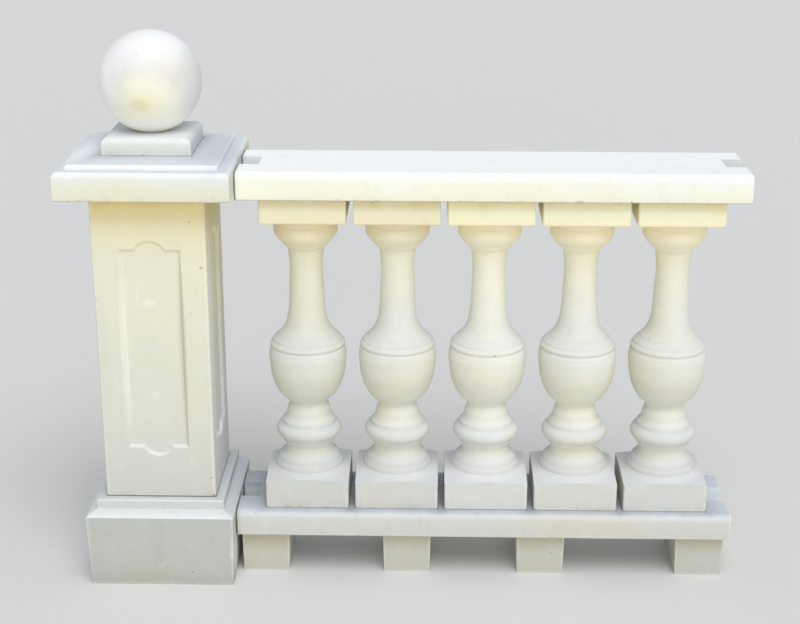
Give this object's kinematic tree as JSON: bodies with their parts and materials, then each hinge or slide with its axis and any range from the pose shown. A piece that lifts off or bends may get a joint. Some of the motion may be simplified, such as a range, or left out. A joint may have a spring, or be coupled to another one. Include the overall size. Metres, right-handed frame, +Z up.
{
  "type": "stone balustrade",
  "caption": "Cast stone balustrade: a square pier with sunk panels and a ball finial, and one bay of turned balusters between a hand rail and a bottom rail on foot blocks.",
  "frame": {"origin": "middle of the pier base's underside, on the ground", "axes": "+X along the bay, away from the pier, +Y to the back and +Z up"},
  "size_m": [1.257, 0.316, 1.052],
  "materials": {
    "pier_stone": "matt cast stone",
    "finial_stone": "matt cast stone",
    "rail_stone": "matt cast stone",
    "baluster_stone": "matt cast stone",
    "block_stone": "matt cast stone, slightly soiled"
  },
  "bodies": {
    "root": {"pier_base": "pier_stone", "pier_shaft": "pier_stone", "pier_cap": "pier_stone", "ball_plinth": "finial_stone", "ball_finial": "finial_stone", "bottom_rail": "rail_stone", "hand_rail": "rail_stone", "baluster_1": "baluster_stone", "baluster_2": "baluster_stone", "baluster_3": "baluster_stone", "baluster_4": "baluster_stone", "baluster_5": "baluster_stone", "foot_block_1": "block_stone", "foot_block_2": "block_stone", "foot_block_3": "block_stone", "foot_block_4": "block_stone"}
  },
  "joints": []
}
